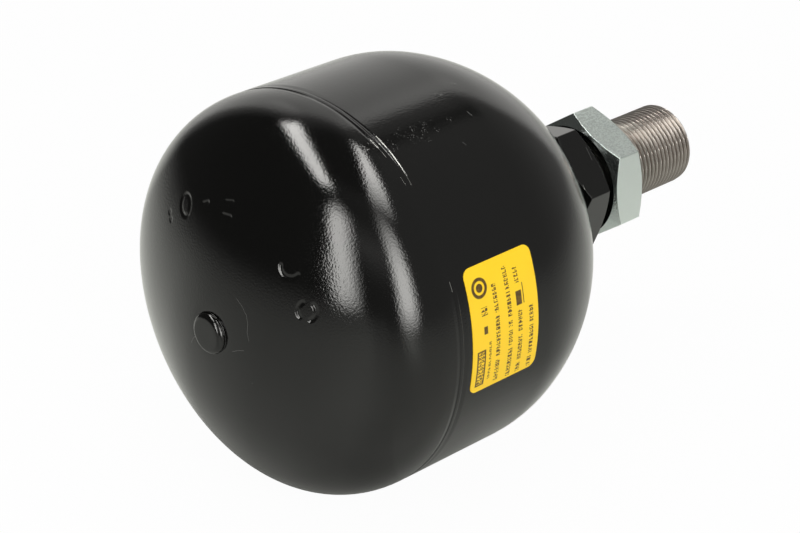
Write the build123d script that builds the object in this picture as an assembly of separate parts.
from build123d import *
import math
import os

# Welded diaphragm accumulator for a hydraulic suspension. A shallow gas cap and a deep-drawn fluid shell
# are welded rim to rim. A moulded diaphragm, clamped inside the seam, parts the gas from the oil and lies
# along the fluid shell while the accumulator is charged and off the vehicle.
#
# Frame: +X runs along the axis, from the gas plug to the port, and +Z is up. The origin is on the axis in
# the plane of the lock nut's outer face. The pieces are drawn with x measured from the seam, then moved.
# Angles are turns about +X, measured from +Y towards +Z. All sizes are in millimetres and degrees.

# Vessel
body_d = 101.4
shell_wall = 4.0
cap_rim = 2.2
cap_height = 30.4
cap_knuckle_r = 21.8
skirt_length = 29.4
base_height = 46.5
base_knuckle_r = 36.0

# Seam weld: the gap between the rims that the bead fills, its crown, and the rounding of each rim
weld_gap = 1.2
bead_crown = 0.45
rim_round = 0.6

# Gas plug, welded into the cap on a coined flat
plug_flat_d = 12.0
plug_head_d = 10.4
plug_head_height = 1.7
plug_edge_r = 1.2
plug_stem_d = 6.0
plug_stem_past_wall = 1.0

# Fluid port: spigot in the shell, neck, hexagon, thread undercut and M22 x 1.5 stud
port_flat_d = 34.0
spigot_d = 20.0
neck_d = 26.0
neck_length = 6.4
port_weld_leg = 3.0
port_hex_af = 32.0
port_hex_length = 10.6
port_hex_turn = 46.9
undercut_d = 19.7
undercut_length = 3.0
thread_d = 22.0
thread_minor_d = 20.16
free_thread = 26.4
thread_chamfer = 1.0

# Oil passage and its seat for a 14 mm tube with a 24 degree cone
passage_d = 10.0
tube_seat_d = 14.1
tube_seat_depth = 8.0
tube_mouth_d = 16.3
tube_cone_angle = 24.0

# Lock nut, thin form
nut_af = 32.0
nut_height = 11.0
nut_turn = 25.8
nut_minor_d = 20.38
nut_countersink_d = 22.9
nut_countersink_angle = 120.0

# Both hexagons have their corners turned off to this share of the width across flats
hex_face_share = 0.95
hex_chamfer_angle = 30.0

# Clamp ring, which backs the weld and holds the diaphragm's bead against the shell
ring_gas_side = 2.0
ring_port_side = 3.0
ring_collar_wall = 2.1
ring_skirt_wall = 1.5
ring_lip_length = 1.5
ring_lip_height = 1.2

# Diaphragm
bead_length = 7.5
bead_depth = 3.2
diaphragm_wall = 2.0
liner_gap = 0.2
boss_d = 28.0
boss_cover = 1.5

# Valve disc, moulded into the diaphragm's boss to close the port when the oil is drained
disc_d = 22.0
disc_thickness = 2.0
disc_neck_d = 8.0
disc_neck_length = 1.5
disc_anchor_d = 12.0
disc_anchor_thickness = 1.2

# Label on the skirt; its height runs round the shell
label_width = 22.0
label_height = 31.6
label_corner_r = 2.2
label_thickness = 0.15
label_from_seam = 3.2
label_angle = 174.6

body_r = body_d / 2
bore_r = body_r - shell_wall


class DomedEnd:
    """A drawn end in section: a straight rim, a knuckle arc, a crown arc and a flat about the axis.

    Args:
        rim: length of the straight part, from the seam.
        height: height of the dome beyond the straight part, to where the crown would meet the axis.
        knuckle_r: outside radius of the knuckle; the crown's radius follows, tangent to it.
        flat_d: diameter of the flat that is pressed into the crown.
        side: +1 for the end that points along +X, -1 for the other.
    """

    def __init__(self, rim, height, knuckle_r, flat_d, side):
        self.rim = rim
        self.knuckle_r = knuckle_r
        self.side = side
        self.knuckle_y = body_r - knuckle_r
        self.crown_r = (height**2 + self.knuckle_y**2 - knuckle_r**2) / (2 * (height - knuckle_r))
        self.crown_x = rim + height - self.crown_r
        self.tangent = math.atan2(self.knuckle_y, rim - self.crown_x)
        self.flat_x = self.crown_x + math.sqrt(self.crown_r**2 - (flat_d / 2) ** 2)

    def flat_r(self, inset):
        """Radius at which the flat meets the crown, on the surface that lies inset within the outside."""
        rise = self.flat_x - inset - self.crown_x
        return math.sqrt((self.crown_r - inset) ** 2 - rise**2)

    def at(self, x, y):
        """Point of the section, x being the distance from the seam towards this end."""
        return (self.side * x, y)

    def on_arc(self, centre_x, centre_y, radius, angle):
        """Point of an arc, the angle being measured from the axis."""
        return self.at(centre_x + radius * math.cos(angle), centre_y + radius * math.sin(angle))

    def edges(self, start, inset):
        """Lines and arcs from x = start on the rim to the edge of the flat, inset within the outside."""
        knuckle = self.knuckle_r - inset
        crown = self.crown_r - inset
        rim_end = self.at(self.rim, body_r - inset)
        meet = self.on_arc(self.rim, self.knuckle_y, knuckle, self.tangent)
        flat_edge = self.at(self.flat_x - inset, self.flat_r(inset))
        flat_angle = math.asin(self.flat_r(inset) / crown)
        knuckle_mid = self.on_arc(self.rim, self.knuckle_y, knuckle, (math.pi / 2 + self.tangent) / 2)
        crown_mid = self.on_arc(self.crown_x, 0, crown, (self.tangent + flat_angle) / 2)
        return [
            Line(self.at(start, body_r - inset), rim_end),
            ThreePointArc(rim_end, knuckle_mid, meet),
            ThreePointArc(meet, crown_mid, flat_edge),
        ]


cap_end = DomedEnd(cap_rim, cap_height, cap_knuckle_r, plug_flat_d, -1)
base_end = DomedEnd(skirt_length, base_height, base_knuckle_r, port_flat_d, 1)

# Stations along the axis, from the seam
port_seat_x = base_end.flat_x
port_inner_x = port_seat_x - shell_wall
hex_x = port_seat_x + neck_length
hex_end_x = hex_x + port_hex_length
nut_x = hex_end_x + undercut_length
nut_end_x = nut_x + nut_height
stud_end_x = nut_end_x + free_thread


def turned(edges):
    """Solid of revolution about the X axis from the edges that close its section."""
    return revolve(make_face(Curve() + edges), Axis.X)


def turned_points(*points):
    """Solid of revolution about the X axis from the corners of a straight-sided section."""
    return turned([Polyline(*points, close=True)])


def rim_edges(end, start):
    """Edges of a shell's rim, from the bore out to the outside: the weld face and its rounded corner."""
    face_corner = end.at(start, body_r - rim_round)
    outside_corner = end.at(start + rim_round, body_r)
    bulge = rim_round * (1 - math.sqrt(0.5))
    middle = end.at(start + bulge, body_r - bulge)
    return [
        Line(end.at(start, bore_r), face_corner),
        ThreePointArc(face_corner, middle, outside_corner),
    ]


def shell(end, hole_d):
    """One half of the vessel: constant wall from the welded rim to the hole in its flat."""
    start = weld_gap / 2
    outer_flat = end.at(end.flat_x, end.flat_r(0))
    inner_flat = end.at(end.flat_x - shell_wall, end.flat_r(shell_wall))
    hole_outer = end.at(end.flat_x, hole_d / 2)
    hole_inner = end.at(end.flat_x - shell_wall, hole_d / 2)
    return turned(
        rim_edges(end, start)
        + end.edges(start + rim_round, 0)
        + [Line(outer_flat, hole_outer), Line(hole_outer, hole_inner), Line(hole_inner, inner_flat)]
        + end.edges(start, shell_wall)
    )


def seam_weld():
    """Bead that fills the gap between the rims through the whole wall and stands up in a low crown."""
    half = weld_gap / 2
    edge_r = body_r - rim_round
    return turned(
        [
            Line((-half, edge_r), (-half, bore_r)),
            Line((-half, bore_r), (half, bore_r)),
            Line((half, bore_r), (half, edge_r)),
            ThreePointArc((half, edge_r), (0, edge_r + bead_crown), (-half, edge_r)),
        ]
    )


def gas_plug():
    """Headed plug that closes the charging hole; only its head shows."""
    seat = -cap_end.flat_x
    face = seat - plug_head_height
    head_r = plug_head_d / 2
    stem_r = plug_stem_d / 2
    tip = seat + shell_wall + plug_stem_past_wall
    bulge = plug_edge_r * (1 - math.sqrt(0.5))
    rounded = ThreePointArc(
        (face, head_r - plug_edge_r), (face + bulge, head_r - bulge), (face + plug_edge_r, head_r)
    )
    sides = Polyline(
        (face + plug_edge_r, head_r), (seat, head_r), (seat, stem_r), (tip, stem_r), (tip, 0), (face, 0),
        (face, head_r - plug_edge_r),
    )
    return turned([rounded, sides])


def hexagon(af, start, length, turn):
    """Hexagon bar with both ends chamfered by cones that meet over its middle; turn is a corner's angle."""
    bar = extrude(Plane.YZ.offset(start) * RegularPolygon(af / 2, 6, major_radius=False), length)
    bar = bar.rotate(Axis.X, turn)
    face_r = hex_face_share * af / 2
    peak_r = face_r + length / 2 / math.tan(math.radians(hex_chamfer_angle))
    end = start + length
    cones = turned_points((start, 0), (start, face_r), (start + length / 2, peak_r), (end, face_r), (end, 0))
    return bar & cones


def fluid_port():
    """Turned port: spigot, neck, hexagon, undercut and stud in one, with the oil passage through it.

    The stud is drawn at its major diameter where it is free, and at its minor diameter inside the nut.
    """
    stud_r = thread_d / 2
    body = turned_points(
        (port_inner_x, 0),
        (port_inner_x, spigot_d / 2),
        (port_seat_x, spigot_d / 2),
        (port_seat_x, neck_d / 2),
        (hex_end_x, neck_d / 2),
        (hex_end_x, undercut_d / 2),
        (nut_x, undercut_d / 2),
        (nut_x, thread_minor_d / 2),
        (nut_end_x, thread_minor_d / 2),
        (nut_end_x, stud_r),
        (stud_end_x - thread_chamfer, stud_r),
        (stud_end_x, stud_r - thread_chamfer),
        (stud_end_x, 0),
    )
    cone_depth = (tube_mouth_d - tube_seat_d) / 2 / math.tan(math.radians(tube_cone_angle / 2))
    passage = turned_points(
        (port_inner_x, 0),
        (port_inner_x, passage_d / 2),
        (stud_end_x - tube_seat_depth, passage_d / 2),
        (stud_end_x - tube_seat_depth, tube_seat_d / 2),
        (stud_end_x - cone_depth, tube_seat_d / 2),
        (stud_end_x, tube_mouth_d / 2),
        (stud_end_x, 0),
    )
    return body + hexagon(port_hex_af, hex_x, port_hex_length, port_hex_turn) - passage


def port_weld():
    """Fillet weld round the neck, on the shell's flat."""
    neck_r = neck_d / 2
    return turned_points(
        (port_seat_x, neck_r), (port_seat_x, neck_r + port_weld_leg), (port_seat_x + port_weld_leg, neck_r)
    )


def lock_nut():
    """Thin hexagon nut, its bore at the thread's minor diameter and countersunk at both faces."""
    bore = nut_minor_d / 2
    mouth = nut_countersink_d / 2
    depth = (mouth - bore) / math.tan(math.radians(nut_countersink_angle / 2))
    hole = turned_points(
        (nut_x, 0), (nut_x, mouth), (nut_x + depth, bore),
        (nut_end_x - depth, bore), (nut_end_x, mouth), (nut_end_x, 0),
    )
    return hexagon(nut_af, nut_x, nut_height, nut_turn) - hole


def clamp_ring():
    """Pressed ring: a collar behind the weld, a narrower skirt, and a lip that hooks over the bead."""
    pocket_r = bore_r - bead_depth
    skirt_r = pocket_r - ring_skirt_wall
    collar_r = bore_r - ring_collar_wall
    lip_x = ring_port_side + bead_length
    end_x = lip_x + ring_lip_length
    return turned_points(
        (-ring_gas_side, bore_r),
        (ring_port_side, bore_r),
        (ring_port_side, pocket_r),
        (lip_x, pocket_r),
        (lip_x, pocket_r + ring_lip_height),
        (end_x, pocket_r + ring_lip_height),
        (end_x, skirt_r),
        (ring_port_side - ring_skirt_wall, skirt_r),
        (0, collar_r),
        (-ring_gas_side, collar_r),
    )


def valve_disc():
    """Metal disc with a mushroom anchor on the side that the rubber is moulded over."""
    face = port_inner_x - liner_gap
    back = face - disc_thickness
    neck_end = back - disc_neck_length
    anchor_end = neck_end - disc_anchor_thickness
    return turned_points(
        (face, 0),
        (face, disc_d / 2),
        (back, disc_d / 2),
        (back, disc_neck_d / 2),
        (neck_end, disc_neck_d / 2),
        (neck_end, disc_anchor_d / 2),
        (anchor_end, disc_anchor_d / 2),
        (anchor_end, 0),
    )


def diaphragm():
    """Moulded cup: a square bead in the ring's pocket, a wall along the shell and a boss on the disc."""
    pocket_r = bore_r - bead_depth
    throat_r = pocket_r + ring_lip_height
    lip_x = ring_port_side + bead_length
    end_x = lip_x + ring_lip_length
    outer_inset = shell_wall + liner_gap
    inner_inset = outer_inset + diaphragm_wall
    outer_flat = (base_end.flat_x - outer_inset, base_end.flat_r(outer_inset))
    inner_flat = (base_end.flat_x - inner_inset, base_end.flat_r(inner_inset))
    back_of_disc = disc_thickness + disc_neck_length + disc_anchor_thickness + boss_cover
    boss_x = port_inner_x - liner_gap - back_of_disc
    head = Polyline(
        (end_x, body_r - inner_inset),
        (end_x, throat_r),
        (lip_x, throat_r),
        (lip_x, pocket_r),
        (ring_port_side, pocket_r),
        (ring_port_side, bore_r),
        (end_x, bore_r),
        (end_x, body_r - outer_inset),
    )
    boss = Polyline(
        outer_flat, (outer_flat[0], 0), (boss_x, 0), (boss_x, boss_d / 2), (inner_flat[0], boss_d / 2), inner_flat
    )
    wall = base_end.edges(end_x, outer_inset) + base_end.edges(end_x, inner_inset)
    return turned([head, boss] + wall) - valve_disc()


def label():
    """Printed film with rounded corners, wrapped on the skirt."""
    outline = RectangleRounded(label_width, 2 * body_r * math.sin(label_height / body_d), label_corner_r)
    centre_x = label_from_seam + label_width / 2
    cutter = extrude(Plane.XY * Pos(centre_x, 0) * outline, body_d)
    cutter = cutter.rotate(Axis.X, label_angle - 90)
    film = turned_points(
        (label_from_seam, body_r),
        (label_from_seam, body_r + label_thickness),
        (label_from_seam + label_width, body_r + label_thickness),
        (label_from_seam + label_width, body_r),
    )
    return film & cutter


pieces = {
    "gas_shell": shell(cap_end, plug_stem_d),
    "fluid_shell": shell(base_end, spigot_d),
    "seam_weld": seam_weld(),
    "gas_plug": gas_plug(),
    "fluid_port": fluid_port(),
    "port_weld": port_weld(),
    "lock_nut": lock_nut(),
    "clamp_ring": clamp_ring(),
    "diaphragm": diaphragm(),
    "valve_disc": valve_disc(),
    "label": label(),
}

os.makedirs("parts", exist_ok=True)
for node, piece in pieces.items():
    export_step(Pos(-nut_end_x, 0, 0) * piece, f"parts/{node}.step")
